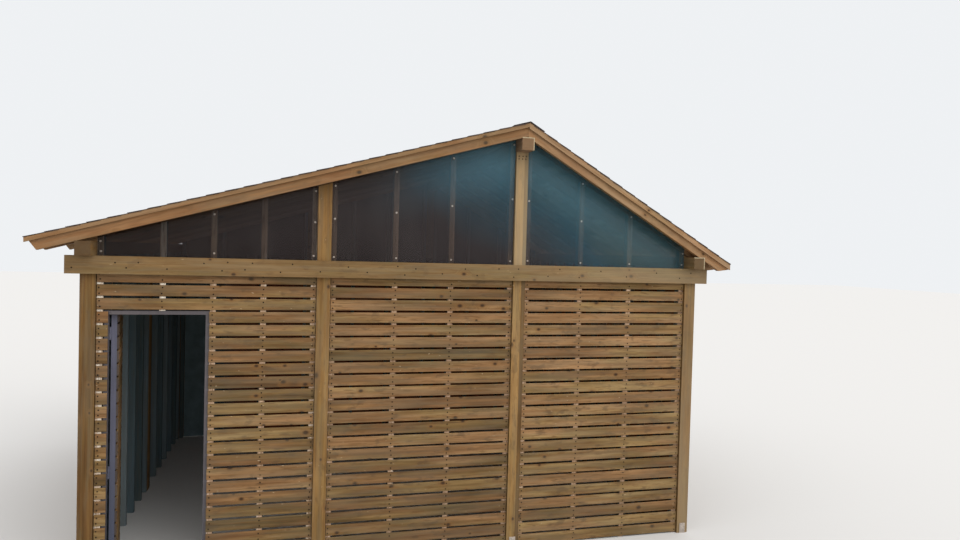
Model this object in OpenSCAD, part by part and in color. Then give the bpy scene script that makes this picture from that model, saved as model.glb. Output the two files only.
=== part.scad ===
// Timber boathouse with slatted walls, an unequal gable roof and a steel door frame.
// Millimetres, +Z up, the front gable faces -Y, Z zero on the floor.
// X and Y zero lie in the middle of the roof outline.

/* [Posts] */
// Side of a square post
post_side = 110; // [100:5:130]
// Height of the corner posts, up to the eave plates
post_height = 2550; // [2400:10:2750]
// Span of the door bay, post centre to post centre
door_bay = 1770; // [1650:5:1900]
// Span of the bay between the second post and the ridge post
middle_bay = 1710; // [1500:5:1900]
// Span of the bay between the ridge post and the right post
right_bay = 1720; // [1500:5:1900]
// Span of each of the two bays along the sides
side_bay = 2150; // [1900:10:2600]
// Width of the steel plate at the foot of a post
foot_width = 57; // [40:1:90]
// Height of that plate
foot_height = 95; // [60:5:150]
// Thickness of that plate
foot_thick = 5; // [3:1:8]

/* [Beams] */
// Side of the eave plates and of the ridge beam
beam_side = 110; // [100:5:130]
// Reach of these beams past the end posts
beam_reach = 150; // [120:5:200]
// Thickness of the tie beam on the gable
tie_thick = 45; // [35:1:60]
// Depth of the tie beam
tie_depth = 140; // [115:5:160]
// Reach of the tie beam past the corner posts
tie_reach = 95; // [50:5:140]

/* [Roof frame] */
// Height of the ridge beam top above the plate tops
ridge_rise = 1005; // [900:5:1150]
// Rafter depth, square to its slope
rafter_depth = 88; // [84:1:120]
// Rafter thickness
rafter_width = 45; // [38:1:60]
// Length of the level seat that the left rafters take over their plate
left_seat = 15; // [10:1:60]
// Length of the seat of the right rafters
right_seat = 55; // [40:1:60]
// Height of the left rafters' lower edge over the middle of the ridge beam
left_lift = 8; // [0:1:9]
// Common rafters on one slope, with the two at the gables
rafter_count = 8; // [5:1:10]
// Overhang of the lower edge of the left rafter tails
left_tail_low = 250; // [200:5:270]
// Overhang of the left rafter tails at the nose
left_tail = 299; // [285:1:315]
// Height of the left nose, plumb
left_nose = 12; // [5:1:20]
// Overhang of the lower edge of the right rafter tails
right_tail_low = 153; // [130:1:170]
// Overhang of the right rafter tails at the nose
right_tail = 250; // [225:5:255]
// Height of the right nose, plumb
right_nose = 33; // [20:1:45]

/* [Roof skin] */
// Overhang of the left verge trim
left_verge = 327; // [320:1:350]
// Overhang of the right verge trim
right_verge = 261; // [260:1:300]
// Height of the left verge trim, square to its slope
left_trim = 33; // [25:1:60]
// Height of the right verge trim
right_trim = 44; // [25:1:60]
// Verge trim thickness
trim_thick = 20; // [15:1:25]
// Roof board thickness
deck_thick = 20; // [15:1:25]
// Setback of the roof boards from the end of the trim
deck_setback = 5; // [0:1:10]
// Reach of the shingles past the trim, down the slope and at the verge
shingle_drip = 5; // [2:1:15]
// Thickness of a shingle course at its butt
shingle_butt = 8; // [6:1:12]
// Thickness of a shingle course at its head
shingle_head = 3; // [2:0.5:4]
// Exposed length of a shingle course
shingle_course = 145; // [120:5:200]
// Width of the ridge capping on each slope
cap_width = 140; // [100:5:200]
// Thickness of the ridge capping
cap_thick = 4; // [3:0.5:6]

/* [Slatted walls] */
// Slat width
slat_width = 89; // [85:1:95]
// Gap between slats
slat_gap = 17; // [8:1:20]
// Slat thickness
slat_thick = 16; // [14:1:22]
// Height of the lowest slat above the floor
slat_lift = 13; // [5:1:30]
// Setback of the slats from the face of the posts
slat_setback = 15; // [10:1:20]
// Free end gap between a slat and a post
slat_end_gap = 8; // [4:1:12]
// Stud thickness along the wall
stud_width = 45; // [38:1:50]
// Stud depth behind the slats
stud_depth = 75; // [60:1:75]
// Gap between a post and the stud beside it
stud_gap = 2; // [1:1:4]
// First stud inside a bay, from the centre of the post on its left
stud_first = 597; // [450:5:650]
// Second stud inside a bay, from the same centre
stud_second = 1089; // [950:1:1200]
// Stud spacing along the side walls
side_stud_step = 340; // [300:5:420]
// Least gap between the last of these studs and the stud beside the next post
side_stud_clear = 100; // [60:5:150]
// Gap between the swing of the opened leaf and the next stud of the side wall
leaf_stud_gap = 47; // [20:1:80]
// Lining sheet thickness
lining_thick = 4; // [2:1:8]
// Height of its lower edge above the floor
lining_lift = 3; // [0:1:20]

/* [Gable sheets] */
// Sheet thickness
sheet_thick = 6; // [4:1:10]
// Gap between a sheet and the posts
sheet_gap = 5; // [2:1:10]
// Lap of the sheet over the gable rafter, square to the slope
sheet_lap = 60; // [30:5:80]

/* [Doorway] */
// Left clear edge of the steel frame, from the left corner of the shed
door_left = 196; // [190:1:215]
// Clear width of the steel frame
door_clear = 710; // [690:5:740]
// Slat rows beside the doorway
door_rows = 20; // [18:1:20]
// Face width of the steel frame
frame_face = 30; // [25:1:32]
// Depth of the steel frame
frame_depth = 40; // [35:1:50]
// Gap between the head of the frame and the slat over it
head_gap = 10; // [3:1:16]
// Lap of the slats over the left jamb
jamb_lap = 29; // [15:1:29]
// Wall of the square steel tubes
tube_wall = 2; // [1.5:0.5:3]
// Stud over the doorway, from the centre of the left post
over_door_stud = 528; // [450:1:600]
// Stud right of the doorway, from the centre of the left post
beside_door_stud = 1291; // [1200:1:1350]

/* [Door leaf] */
// Opening angle of the leaf as built
leaf_angle = 100; // [90:1:100]
// Gap between the hinge jamb and the closed leaf
hinge_gap = 8; // [7:1:14]
// Gap between the closed leaf and the other jamb
latch_gap = 10; // [9:1:14]
// Gap between the closed leaf and the head
leaf_top_gap = 7; // [6:1:12]
// Gap between the leaf and the floor
leaf_lift = 25; // [15:1:40]
// Side of the square steel tube of the leaf
leaf_tube = 40; // [35:1:45]
// Height of the lower edge of the leaf's middle rail
leaf_rail_height = 1060; // [900:10:1200]
// Hinge barrel diameter
barrel_diameter = 14; // [13:0.5:16]
// Gap between a hinge barrel and the back of the leaf
barrel_stand = 1; // [0.5:0.5:3]
// Hinge barrel length
barrel_length = 100; // [80:5:120]
// Hinge pin diameter
pin_diameter = 8; // [6:0.5:8]
// Clearance of the hinge pin in its bore, all round
pin_clearance = 0.4; // [0.3:0.1:0.6]
// Drop of the pin's end below the top of its barrel
pin_drop = 5; // [2:1:10]
// Hinge strap thickness
strap_thick = 5; // [4:0.5:6]
// Hinge strap width, from the pin out
strap_width = 24; // [20:1:28]
// Height of the lowest hinge centre
hinge_low = 230; // [180:10:300]
// Height of the middle hinge centre
hinge_middle = 838; // [700:2:1000]
// Drop of the top hinge centre below the top of the leaf
hinge_drop = 146; // [90:2:250]

/* [Fits] */
// Gap between pieces that are notched or set round each other
fit = 0.3; // [0.2:0.1:0.5]
// Gap between the two halves of a hinge barrel
barrel_gap = 0.6; // [0.5:0.1:1]

/* [Hidden] */
$fn = 48;
wall_colour = [0.48, 0.38, 0.27];

second_post = door_bay;
ridge_post = door_bay + middle_bay;
right_post = ridge_post + right_bay;
width = right_post + post_side;
depth = 2 * side_bay + post_side;
ridge_x = ridge_post + post_side / 2;
plate_top = post_height + beam_side;
ridge_top = plate_top + ridge_rise;

// Rise over run of each slope: the rafters' lower edges pass over the inner
// end of the seat on the plate and over the middle of the ridge beam.
left_pitch = (ridge_rise + left_lift) / (ridge_x - left_seat);
right_pitch = ridge_rise / (width - right_seat - ridge_x);
left_plumb = sqrt(1 + left_pitch * left_pitch);
right_plumb = sqrt(1 + right_pitch * right_pitch);

left_foot = ridge_x + left_verge + shingle_drip;
right_foot = width - ridge_x + right_verge + shingle_drip;
middle_x = ridge_x + (right_foot - left_foot + fit) / 2;
middle_y = depth / 2;

// Levels of the roof's layers, square to their slope from the rafters' lower edges
deck_low = rafter_depth + fit;
deck_level = deck_low + deck_thick;
shingle_low = deck_level + fit;
verge_face = beam_reach + trim_thick;
roof_face = verge_face + shingle_drip;

slat_pitch = slat_width + slat_gap;
stud_face = slat_setback + slat_thick;
stud_inset = post_side + stud_gap;
// From the left edge of a post to that of a stud on the same centre line
stud_middle = (post_side - stud_width) / 2;
// Gable slats run up behind the tie beam, side slats up to the plates
gable_rows = floor((post_height - tie_depth - slat_lift) / slat_pitch) + 1;
side_rows = floor((post_height - slat_lift + slat_gap) / slat_pitch);
sheet_low = slat_lift + gable_rows * slat_pitch;

jamb_left = door_left - frame_face;
door_right = door_left + door_clear;
jamb_right = door_right + frame_face;
head_top = slat_lift + door_rows * slat_pitch - head_gap;
head_low = head_top - frame_face;
frame_back = stud_face + frame_depth;
jamb_stud = jamb_right + fit;

pin_setback = barrel_diameter / 2 + barrel_stand;
pin_x = door_left + hinge_gap / 2;
pin_y = stud_face + leaf_tube + pin_setback;
leaf_left = door_left + hinge_gap;
leaf_right = door_right - latch_gap;
leaf_high = head_low - leaf_top_gap;
leaf_back = stud_face + leaf_tube;
hinge_heights = [hinge_low, hinge_middle, leaf_high - hinge_drop];

// The opened leaf swings between two studs of the side wall. The other side
// studs are set out from these two.
leaf_swing = pin_y + norm([leaf_right - pin_x, pin_y - slat_setback]);
side_stud_first = leaf_swing + leaf_stud_gap - side_stud_step;
side_studs = floor((side_bay - side_stud_first - 2 * stud_width - stud_gap - side_stud_clear)
                   / side_stud_step) + 1;

// Lower edge of the rafters at a distance from the left corner
function under(x) = x < ridge_x
    ? left_z(ridge_x - x, 0)
    : right_z(x - ridge_x, 0);

// Height of a layer of one slope, a distance out from the ridge line
function left_z(run, level) = ridge_top + left_lift - run * left_pitch + level * left_plumb;
function right_z(run, level) = ridge_top - run * right_pitch + level * right_plumb;

// Where a layer of the left slope meets the same layer of the right one
function meet(level) = (level * (right_plumb - left_plumb) - left_lift) / (left_pitch + right_pitch);

function slat_z(row) = slat_lift + row * slat_pitch;

module whole() {
    translate([-middle_x, -middle_y, 0]) children();
}

module front_and_back() {
    children();
    at_back() children();
}

module at_back() {
    translate([0, depth, 0]) mirror([0, 1, 0]) children();
}

module at_right() {
    translate([width, 0, 0]) mirror([1, 0, 0]) children();
}

// A section drawn in X and Z, run along Y from one place for a length
module along(from, length) {
    translate([0, from, 0])
        mirror([0, 1, 0])
            rotate([90, 0, 0])
                linear_extrude(height = length) children();
}

// An upright with its top cut to the slope above it
module under_rafter(from, size, low, near, thick) {
    along(near, thick)
        polygon([[from, low], [from + size, low],
                 [from + size, under(from + size) - fit], [from, under(from) - fit]]);
}

// Posts and beams

module corner_posts() {
    color([0.47, 0.35, 0.25])
        front_and_back()
            for (x = [0, right_post])
                translate([x, 0, 0]) cube([post_side, post_side, post_height]);
}

module gable_posts() {
    color([0.47, 0.35, 0.25]) {
        under_rafter(second_post, post_side, 0, 0, post_side);
        translate([ridge_post, 0, 0])
            cube([post_side, post_side, ridge_top - beam_side]);
    }
}

module side_posts() {
    color([0.47, 0.35, 0.25])
        for (x = [0, right_post])
            translate([x, side_bay, 0]) cube([post_side, post_side, post_height]);
}

module foot_plates() {
    edge = (post_side - foot_width) / 2;
    color([0.62, 0.6, 0.58]) {
        front_and_back()
            for (x = [0, second_post, ridge_post, right_post])
                translate([x + edge, -foot_thick, 0])
                    cube([foot_width, foot_thick, foot_height]);
        for (x = [-foot_thick, width])
            translate([x, side_bay + edge, 0])
                cube([foot_thick, foot_width, foot_height]);
    }
}

module tie_beam() {
    color([0.5, 0.38, 0.28])
        translate([-tie_reach, -tie_thick, post_height - tie_depth])
            cube([width + 2 * tie_reach, tie_thick, tie_depth]);
}

module long_beam(x, top) {
    color([0.46, 0.34, 0.25])
        translate([x, -beam_reach, top - beam_side])
            cube([beam_side, depth + 2 * beam_reach, beam_side]);
}

// Roof frame

module beam_notch(x, top) {
    translate([x - fit, top - beam_side - fit])
        square(beam_side + 2 * fit);
}

// Left rafter: plumb cut at the ridge, notched over the ridge beam and the
// plate, raked tail with a small plumb nose
module left_rafter_section() {
    tail = ridge_x + left_tail;
    low = ridge_x + left_tail_low;
    difference() {
        translate([ridge_x, 0])
            polygon([[0, left_z(0, 0)],
                     [0, left_z(0, rafter_depth)],
                     [-tail, left_z(tail, rafter_depth)],
                     [-tail, left_z(tail, rafter_depth) - left_nose],
                     [-low, left_z(low, 0)]]);
        beam_notch(0, plate_top);
        beam_notch(ridge_post, ridge_top);
    }
}

// Right rafter: as the left one, with its top planed to the left slope where
// they meet, and a nearly level cut under the tail
module right_rafter_section() {
    tail = width - ridge_x + right_tail;
    low = width - ridge_x + right_tail_low;
    over = meet(rafter_depth);
    difference() {
        translate([ridge_x, 0])
            polygon([[0, right_z(0, 0)],
                     [low, right_z(low, 0)],
                     [tail, right_z(tail, rafter_depth) - right_nose],
                     [tail, right_z(tail, rafter_depth)],
                     [over, right_z(over, rafter_depth)],
                     [0, left_z(0, rafter_depth)]]);
        beam_notch(right_post, plate_top);
        beam_notch(ridge_post, ridge_top);
    }
}

module barge_places() {
    for (y = [-beam_reach, depth + beam_reach - rafter_width])
        along(y, rafter_width) children();
}

module common_places() {
    step = (depth - 2 * stud_face - rafter_width) / (rafter_count - 1);
    for (i = [0 : rafter_count - 1])
        along(stud_face + i * step, rafter_width) children();
}

module barge_left() {
    color([0.5, 0.36, 0.25]) barge_places() left_rafter_section();
}

module barge_right() {
    color([0.52, 0.4, 0.3])
        translate([fit, 0, 0]) barge_places() right_rafter_section();
}

module commons_left() {
    color([0.55, 0.43, 0.32]) common_places() left_rafter_section();
}

module commons_right() {
    color([0.55, 0.43, 0.32])
        translate([fit, 0, 0]) common_places() right_rafter_section();
}

// Roof skin

// One layer of the left slope between two levels, up to the meeting line
module left_layer(low, high, reach) {
    foot = ridge_x + reach;
    translate([ridge_x, 0])
        polygon([[meet(low), left_z(-meet(low), low)],
                 [meet(high), left_z(-meet(high), high)],
                 [-foot, left_z(foot, high)],
                 [-foot, left_z(foot, low)]]);
}

module right_layer(low, high, reach) {
    foot = width - ridge_x + reach;
    translate([ridge_x + fit, 0])
        polygon([[meet(low), right_z(meet(low), low)],
                 [foot, right_z(foot, low)],
                 [foot, right_z(foot, high)],
                 [meet(high), right_z(meet(high), high)]]);
}

module trim_places() {
    for (y = [-verge_face, depth + beam_reach])
        along(y, trim_thick) children();
}

module trim_left() {
    color([0.56, 0.46, 0.36])
        trim_places() left_layer(deck_level - left_trim, deck_level, left_verge);
}

module trim_right() {
    color([0.6, 0.54, 0.48])
        trim_places() right_layer(deck_level - right_trim, deck_level, right_verge);
}

module deck_left() {
    color([0.58, 0.46, 0.34])
        along(-beam_reach, depth + 2 * beam_reach)
            left_layer(deck_low, deck_level, left_verge - deck_setback);
}

module deck_right() {
    color([0.58, 0.46, 0.34])
        along(-beam_reach, depth + 2 * beam_reach)
            right_layer(deck_low, deck_level, right_verge - deck_setback);
}

// Overlapping courses, each thick at its butt and thin at its head
module left_courses() {
    top = shingle_low + shingle_head;
    count = round(left_foot * left_plumb / shingle_course);
    step = left_foot / count;
    steps = [for (i = [0 : count - 1], head = [0, 1])
             let (run = left_foot - (i + head) * step)
             [-run, left_z(run, shingle_low + (head ? shingle_head : shingle_butt))]];
    translate([ridge_x, 0])
        polygon(concat([[meet(shingle_low), left_z(-meet(shingle_low), shingle_low)],
                        [-left_foot, left_z(left_foot, shingle_low)]],
                       steps,
                       [[meet(top), left_z(-meet(top), top)]]));
}

module right_courses() {
    start = meet(shingle_low + shingle_head);
    count = round((right_foot - start) * right_plumb / shingle_course);
    step = (right_foot - start) / count;
    steps = [for (i = [0 : count - 1], head = [0, 1])
             let (run = right_foot - (i + head) * step)
             [run, right_z(run, shingle_low + (head ? shingle_head : shingle_butt))]];
    translate([ridge_x + fit, 0])
        polygon(concat([[meet(shingle_low), right_z(meet(shingle_low), shingle_low)],
                        [right_foot, right_z(right_foot, shingle_low)]],
                       steps));
}

module shingles_left() {
    color([0.2, 0.17, 0.16]) along(-roof_face, depth + 2 * roof_face) left_courses();
}

module shingles_right() {
    color([0.2, 0.17, 0.16]) along(-roof_face, depth + 2 * roof_face) right_courses();
}

module capping() {
    low = shingle_low + shingle_butt + fit;
    high = low + cap_thick;
    color([0.18, 0.16, 0.15])
        along(-roof_face, depth + 2 * roof_face)
            translate([ridge_x + fit, 0])
                polygon([[meet(low), right_z(meet(low), low)],
                         [cap_width, right_z(cap_width, low)],
                         [cap_width, right_z(cap_width, high)],
                         [meet(high), right_z(meet(high), high)],
                         [-cap_width, left_z(cap_width, high)],
                         [-cap_width, left_z(cap_width, low)]]);
}

// Slatted walls

module gable_slats(from, to, first, last) {
    for (row = [first : last])
        translate([from, slat_setback, slat_z(row)])
            cube([to - from, slat_thick, slat_width]);
}

module gable_stud(from, low) {
    under_rafter(from, stud_width, low, stud_face, stud_depth);
}

// Left edges of the four studs of a gable bay
function gable_stud_places(post, next) = [
    post + stud_inset,
    post + stud_middle + stud_first,
    post + stud_middle + stud_second,
    next - stud_gap - stud_width];

// Slats and studs of one bay, fused where they cross
module gable_bay(post, next) {
    color(wall_colour)
        union() {
            gable_slats(post + post_side + slat_end_gap, next - slat_end_gap, 0, gable_rows - 1);
            for (x = gable_stud_places(post, next))
                gable_stud(x, 0);
        }
}

module left_gable_bay() {
    gable_bay(0, second_post);
}

module middle_gable_bay() {
    gable_bay(second_post, ridge_post);
}

module right_gable_bay() {
    gable_bay(ridge_post, right_post);
}

module door_bay_left() {
    color(wall_colour)
        union() {
            gable_slats(post_side + slat_end_gap, jamb_left + jamb_lap, 0, door_rows - 1);
            gable_stud(stud_inset, 0);
        }
}

module door_bay_right() {
    color(wall_colour)
        union() {
            gable_slats(jamb_right, second_post - slat_end_gap, 0, door_rows - 1);
            for (x = [jamb_stud,
                      stud_middle + beside_door_stud,
                      second_post - stud_gap - stud_width])
                gable_stud(x, 0);
        }
}

module door_bay_top() {
    color(wall_colour)
        union() {
            gable_slats(post_side + slat_end_gap, second_post - slat_end_gap, door_rows, gable_rows - 1);
            gable_stud(stud_middle + over_door_stud, head_top);
        }
}

// Near edges of the studs of a side bay, the first and last beside the posts
function side_stud_places(from) = concat(
    [from + stud_inset],
    [for (i = [0 : side_studs - 1]) from + side_stud_first + i * side_stud_step],
    [from + side_bay - stud_gap - stud_width]);

module left_bay(from) {
    color(wall_colour)
        union() {
            for (row = [0 : side_rows - 1])
                translate([slat_setback, from + post_side + slat_end_gap, slat_z(row)])
                    cube([slat_thick, side_bay - post_side - 2 * slat_end_gap, slat_width]);
            for (y = side_stud_places(from))
                translate([stud_face, y, 0])
                    cube([stud_depth, stud_width, post_height - fit]);
        }
}

module front_left_bay() {
    left_bay(0);
}

module back_left_bay() {
    left_bay(side_bay);
}

// Dark sheets behind the slats, one between each stud and the next
module side_lining(from) {
    places = side_stud_places(from);
    for (i = [0 : len(places) - 2])
        translate([stud_face + fit, places[i] + stud_width + fit, lining_lift])
            cube([lining_thick, places[i + 1] - places[i] - stud_width - 2 * fit,
                  post_height - lining_lift - fit]);
}

module back_lining(post, next) {
    places = gable_stud_places(post, next);
    for (i = [0 : len(places) - 2])
        translate([places[i] + stud_width + fit, stud_face + fit, lining_lift])
            cube([places[i + 1] - places[i] - stud_width - 2 * fit, lining_thick,
                  sheet_low - lining_lift - fit]);
}

module lining() {
    color([0.16, 0.15, 0.16]) {
        for (from = [0, side_bay]) {
            side_lining(from);
            at_right() side_lining(from);
        }
        at_back() {
            back_lining(0, second_post);
            back_lining(second_post, ridge_post);
            back_lining(ridge_post, right_post);
        }
    }
}

// Gable sheets

module gable_sheet(from, to) {
    lap = from < ridge_x ? sheet_lap * left_plumb : sheet_lap * right_plumb;
    along(stud_face - sheet_thick, sheet_thick)
        polygon([[from, sheet_low], [to, sheet_low],
                 [to, under(to) + lap], [from, under(from) + lap]]);
}

module gable_sheets() {
    color([0.2, 0.2, 0.21]) {
        gable_sheet(post_side + sheet_gap, second_post - sheet_gap);
        gable_sheet(second_post + post_side + sheet_gap, ridge_post - sheet_gap);
        gable_sheet(ridge_post + post_side + sheet_gap, right_post - sheet_gap);
    }
}

// Doorway

// Hollow tube upright, from the floor of its own place
module tube_up(across, deep, length) {
    linear_extrude(height = length)
        difference() {
            square([across, deep]);
            translate([tube_wall, tube_wall])
                square([across - 2 * tube_wall, deep - 2 * tube_wall]);
        }
}

// Hollow tube along X
module tube_across(length, deep, high) {
    rotate([90, 0, 90]) tube_up(deep, high, length);
}

module door_jambs() {
    color([0.36, 0.33, 0.35])
        for (x = [jamb_left, door_right])
            translate([x, stud_face, 0]) tube_up(frame_face, frame_depth, head_low);
}

module door_head() {
    color([0.36, 0.33, 0.35])
        translate([jamb_left, stud_face, head_low])
            tube_across(jamb_right - jamb_left, frame_depth, frame_face);
}

// Lower half of a hinge barrel, with the pin and the strap on the jamb
module jamb_hinges() {
    half = (barrel_length - barrel_gap) / 2;
    color([0.4, 0.38, 0.4])
        for (z = hinge_heights)
            translate([pin_x, pin_y, z - barrel_length / 2])
                union() {
                    cylinder(d = barrel_diameter, h = half);
                    cylinder(d = pin_diameter, h = barrel_length - pin_drop);
                    translate([-strap_width, frame_back - pin_y, 0])
                        cube([strap_width, strap_thick, half]);
                }
}

// Door leaf, drawn shut and turned open about its pin

module opened() {
    translate([pin_x, pin_y, 0])
        rotate([0, 0, leaf_angle])
            translate([-pin_x, -pin_y, 0]) children();
}

module leaf_stiles() {
    color([0.37, 0.35, 0.37])
        opened()
            for (x = [leaf_left, leaf_right - leaf_tube])
                translate([x, stud_face, leaf_lift])
                    tube_up(leaf_tube, leaf_tube, leaf_high - leaf_lift);
}

module leaf_rails() {
    color([0.37, 0.35, 0.37])
        opened()
            for (z = [leaf_lift, leaf_rail_height, leaf_high - leaf_tube])
                translate([leaf_left + leaf_tube, stud_face, z])
                    tube_across(leaf_right - leaf_left - 2 * leaf_tube, leaf_tube, leaf_tube);
}

// Slats in line with those of the wall, the lowest and highest cut to the leaf
module leaf_slats() {
    color([0.45, 0.36, 0.27])
        opened()
            for (row = [0 : door_rows - 1]) {
                low = max(slat_z(row), leaf_lift);
                high = min(slat_z(row) + slat_width, leaf_high);
                translate([leaf_left, slat_setback, low])
                    cube([leaf_right - leaf_left, slat_thick, high - low]);
            }
}

// Upper half of a hinge barrel, with its bore and the strap on the leaf
module leaf_hinges() {
    half = (barrel_length - barrel_gap) / 2;
    color([0.4, 0.38, 0.4])
        opened()
            for (z = hinge_heights)
                translate([pin_x, pin_y, z + barrel_gap / 2])
                    difference() {
                        union() {
                            cylinder(d = barrel_diameter, h = half);
                            translate([0, leaf_back - pin_y, 0])
                                cube([strap_width, strap_thick, half]);
                        }
                        translate([0, 0, -fit])
                            cylinder(d = pin_diameter + 2 * pin_clearance, h = half + 2 * fit);
                    }
}

whole() corner_posts();
whole() gable_posts();  // front_posts
whole() at_back() gable_posts();  // back_posts
whole() side_posts();
whole() foot_plates();
whole() tie_beam();  // front_tie_beam
whole() at_back() tie_beam();  // back_tie_beam
whole() long_beam(0, plate_top);  // left_plate
whole() long_beam(width - beam_side, plate_top);  // right_plate
whole() long_beam(ridge_x - beam_side / 2, ridge_top);  // ridge_beam
whole() barge_left();
whole() barge_right();
whole() commons_left();
whole() commons_right();
whole() trim_left();
whole() trim_right();
whole() deck_left();
whole() deck_right();
whole() shingles_left();
whole() shingles_right();
whole() capping();
whole() door_bay_left();
whole() door_bay_top();
whole() door_bay_right();
whole() middle_gable_bay();  // front_middle
whole() right_gable_bay();  // front_right
whole() at_back() left_gable_bay();  // back_left
whole() at_back() middle_gable_bay();  // back_middle
whole() at_back() right_gable_bay();  // back_right
whole() front_left_bay();  // left_front
whole() back_left_bay();  // left_back
whole() at_right() front_left_bay();  // right_front
whole() at_right() back_left_bay();  // right_back
whole() lining();
whole() gable_sheets();  // front_sheets
whole() at_back() gable_sheets();  // back_sheets
whole() door_jambs();
whole() door_head();
whole() jamb_hinges();
whole() leaf_stiles();
whole() leaf_rails();
whole() leaf_slats();
whole() leaf_hinges();
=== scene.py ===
"""Looks of the timber boathouse: boards, studs, nails, shingles and finishes around its frame."""
import math
import random

import bpy
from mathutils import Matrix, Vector


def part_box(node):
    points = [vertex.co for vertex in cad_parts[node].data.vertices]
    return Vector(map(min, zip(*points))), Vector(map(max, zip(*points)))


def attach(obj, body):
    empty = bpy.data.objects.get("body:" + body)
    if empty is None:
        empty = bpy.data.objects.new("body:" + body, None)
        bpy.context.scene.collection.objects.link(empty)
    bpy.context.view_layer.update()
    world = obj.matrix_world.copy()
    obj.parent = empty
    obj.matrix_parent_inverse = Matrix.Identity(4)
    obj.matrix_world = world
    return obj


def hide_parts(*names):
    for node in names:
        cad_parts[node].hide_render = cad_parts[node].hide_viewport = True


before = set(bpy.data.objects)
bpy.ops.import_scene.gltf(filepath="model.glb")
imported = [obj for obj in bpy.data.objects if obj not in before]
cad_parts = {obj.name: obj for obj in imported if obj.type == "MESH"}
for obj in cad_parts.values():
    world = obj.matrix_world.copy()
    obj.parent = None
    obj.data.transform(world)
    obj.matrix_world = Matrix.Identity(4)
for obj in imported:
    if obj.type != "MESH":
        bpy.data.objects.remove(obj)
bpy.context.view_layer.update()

UP = Vector((0, 0, 1))
NORTH = Vector((0, 1, 0))
CLOSE = 0.0006
CHANCE = random.Random(7)
TONE_STEP = 0.618


def show(name, data):
    """Add an object to the scene."""
    item = bpy.data.objects.new(name, data)
    bpy.context.collection.objects.link(item)
    return item


# Camera

CAMERA_PLACE = (-1.045, -8.164, 2.648)
CAMERA_TURN = (88.61, -1.537, -14.911)
CAMERA_LENS = 26.25
CAMERA_SENSOR = 36
CAMERA_REACH = 400


def camera():
    data = bpy.data.cameras.new("camera")
    data.lens = CAMERA_LENS
    data.sensor_width = CAMERA_SENSOR
    data.clip_end = CAMERA_REACH
    item = show("camera", data)
    item.location = CAMERA_PLACE
    item.rotation_euler = [math.radians(angle) for angle in CAMERA_TURN]
    bpy.context.scene.camera = item


# Places read from the frame

def corners(node):
    """Corner points of a node of the frame."""
    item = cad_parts[node]
    return [item.matrix_world @ vertex.co for vertex in item.data.vertices]


def levels(values):
    """Sorted values, with those that lie close together taken as one."""
    found = []
    for value in sorted(values):
        if not found or value - found[-1] > CLOSE:
            found.append(value)
    return found


class Wall:
    """One side of the shed: a corner on its posts' face, the way along it and the way out of it."""

    def __init__(self, corner, along, out):
        self.corner = Vector(corner)
        self.along = Vector(along)
        self.out = Vector(out)

    def at(self, run, rise, depth):
        return self.corner + self.along * run + UP * rise - self.out * depth

    def place(self, point):
        """Run, rise and depth of a point."""
        gap = point - self.corner
        return gap.dot(self.along), gap.z, -gap.dot(self.out)


class Bay:
    """Slat rows and studs of one bay, read from its node."""

    def __init__(self, wall, node):
        places = [wall.place(point) for point in corners(node)]
        depths = levels(depth for run, rise, depth in places)
        self.wall = wall
        self.node = node
        self.face = depths[0]
        self.thick = depths[1] - depths[0]
        self.back = depths[-1]
        front = [(run, rise) for run, rise, depth in places if depth < self.face + CLOSE]
        edges = levels(rise for run, rise in front)
        self.rows = list(zip(edges[::2], edges[1::2]))
        self.start = min(run for run, rise in front)
        self.end = max(run for run, rise in front)
        self.studs = []
        if len(depths) > 2:
            inner = [(run, rise) for run, rise, depth in places if depth > self.back - CLOSE]
            sides = levels(run for run, rise in inner)
            for near, far in zip(sides[::2], sides[1::2]):
                first, second = [[rise for run, rise in inner if abs(run - side) < CLOSE]
                                 for side in (near, far)]
                self.studs.append((near, far, min(first), (max(first), max(second))))

    def crossings(self):
        return [(near + far) / 2 for near, far, low, tops in self.studs]


class Slope:
    """One side of the roof, read from its deck: the top edge at the ridge, the way down it and the
    way out of it. drop is how far it falls for each metre along the gable."""

    def __init__(self, node, side):
        points = corners(node)
        edge = max(point.x * side for point in points)
        eave = [point for point in points if point.x * side > edge - CLOSE]
        foot = max(eave, key=lambda point: point.z)
        head = max(points, key=lambda point: point.z)
        self.side = side
        self.near = min(point.y for point in points)
        self.far = max(point.y for point in points)
        self.head = Vector((head.x, 0, head.z))
        run = Vector((foot.x, 0, foot.z)) - self.head
        self.length = run.length
        self.down = run.normalized()
        self.out = Vector((-self.down.z * side, 0, self.down.x * side))
        self.thick = (foot.z - min(point.z for point in eave)) * self.out.z
        self.turn = math.atan2(-self.down.z, self.down.x * side) * -side
        self.drop = -self.down.z / abs(self.down.x)

    def at(self, run, y, level):
        return self.head + self.down * run + self.out * level + NORTH * y

    def under(self, x, level):
        """Height over a place along the gable, at a level below the top of the deck. The place can
        be a number or a value of a finish."""
        point = self.at(0, 0, level)
        return point.z - (x - point.x) * (self.side * self.drop)


# Shader sockets as Python values

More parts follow.
